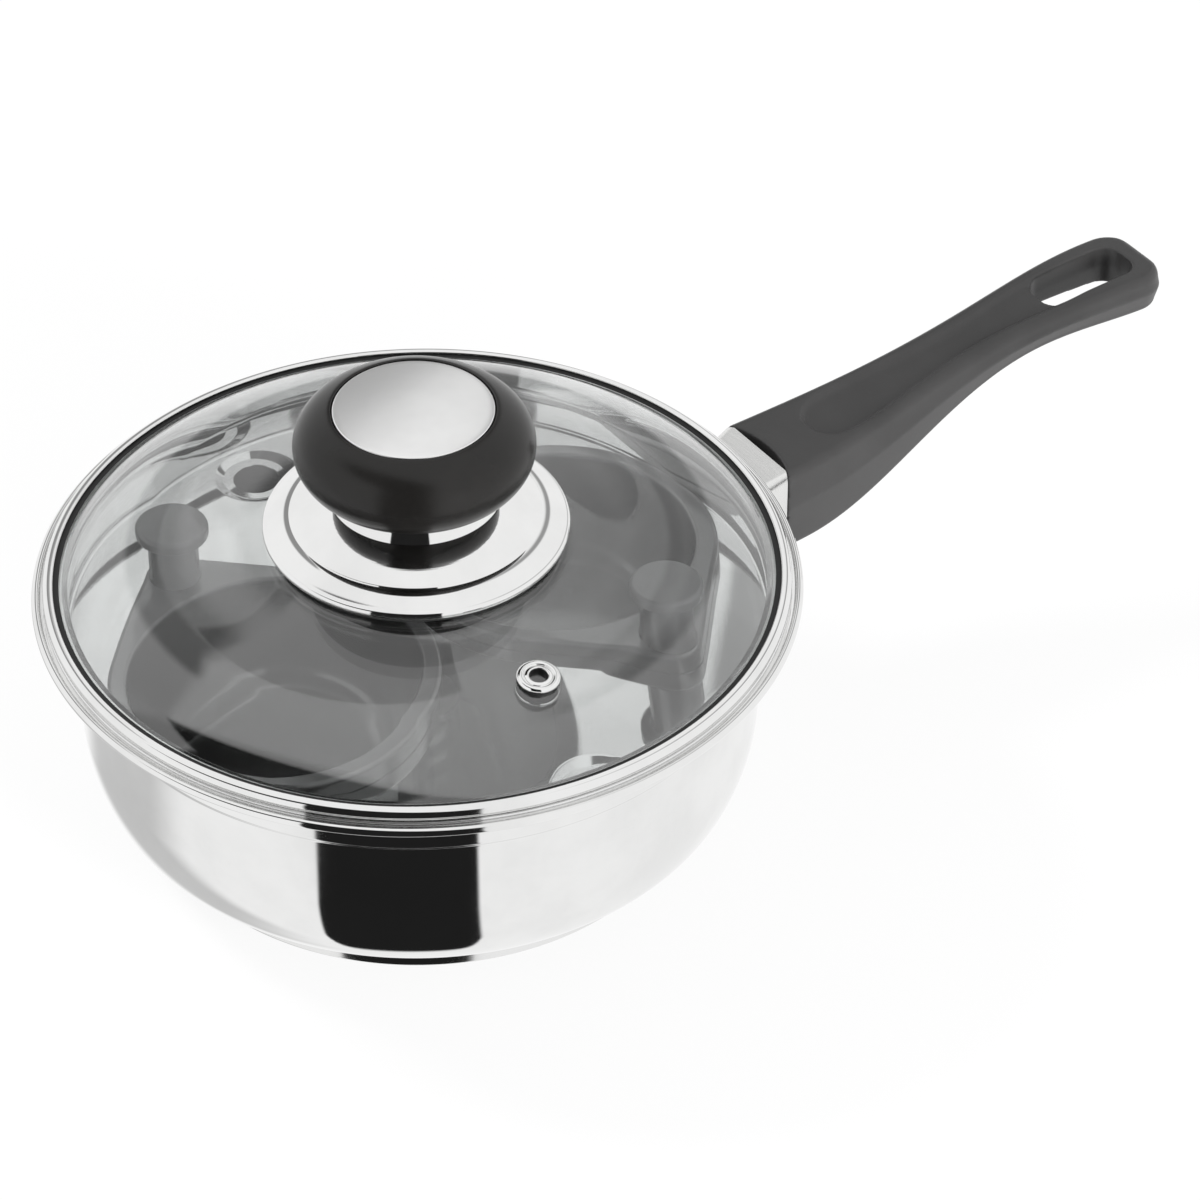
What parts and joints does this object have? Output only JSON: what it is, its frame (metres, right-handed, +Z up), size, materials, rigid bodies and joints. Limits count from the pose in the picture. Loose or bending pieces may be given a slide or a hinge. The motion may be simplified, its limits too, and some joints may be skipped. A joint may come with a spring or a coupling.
{
  "type": "egg poacher pan",
  "caption": "Shallow steel poaching pan with a lift-out tray, non-stick egg cups with lifting pegs, a vented glass lid with a round knob and one long handle.",
  "frame": {"origin": "centre of the pan's flat base, on the surface that it stands on", "axes": "+Z up, +X along the handle"},
  "size_m": [0.3073, 0.18, 0.1141],
  "materials": {
    "polished_steel": "mirror-polished stainless steel",
    "satin_steel": "satin stainless steel",
    "aluminium_core": "plain aluminium disc, sealed inside the base",
    "non_stick_coating": "grey non-stick coating on sheet metal",
    "phenolic": "heat-proof moulded phenolic resin, dark grey, smooth satin",
    "glass": "clear tempered glass",
    "rubber": "black silicone rubber",
    "brass": "plain turned brass"
  },
  "bodies": {
    "pan": {"pan_body": "polished_steel", "base_core_disc": "aluminium_core", "base_cap": "polished_steel", "handle_bracket": "satin_steel", "flame_guard": "satin_steel", "handle": "phenolic", "handle_screw": "satin_steel", "handle_screw_washer": "satin_steel"},
    "tray": {"egg_tray": "polished_steel"},
    "first_cup": {"cup_1": "non_stick_coating", "cup_1_peg": "phenolic", "cup_1_peg_screw": "satin_steel"},
    "second_cup": {"cup_2": "non_stick_coating", "cup_2_peg": "phenolic", "cup_2_peg_screw": "satin_steel"},
    "lid": {"lid_glass": "glass", "lid_rim_band": "polished_steel", "steam_vent_eyelet": "polished_steel", "steam_vent_gasket": "rubber", "knob_skirt": "polished_steel", "knob_seal_upper": "rubber", "knob_body": "phenolic", "knob_disc": "polished_steel", "knob_insert": "brass", "knob_screw": "satin_steel", "knob_washer": "satin_steel", "knob_seal_lower": "rubber"}
  },
  "joints": [
    {"name": "tray_lift", "type": "slide", "parent": "pan", "child": "tray", "axis": [0, 0, 1], "range_m": [0, 0.08]},
    {"name": "lid_lift", "type": "slide", "parent": "tray", "child": "lid", "axis": [0, 0, 1], "range_m": [0, 0.12]},
    {"name": "cup_1_lift", "type": "slide", "parent": "tray", "child": "first_cup", "axis": [0, 0, 1], "range_m": [0, 0.06]},
    {"name": "cup_2_lift", "type": "slide", "parent": "tray", "child": "second_cup", "axis": [0, 0, 1], "range_m": [0, 0.06]}
  ],
  "couplings": [
    {"joint": "cup_1_lift", "follows": "lid_lift", "ratio": 0.5},
    {"joint": "cup_2_lift", "follows": "lid_lift", "ratio": 0.5}
  ]
}
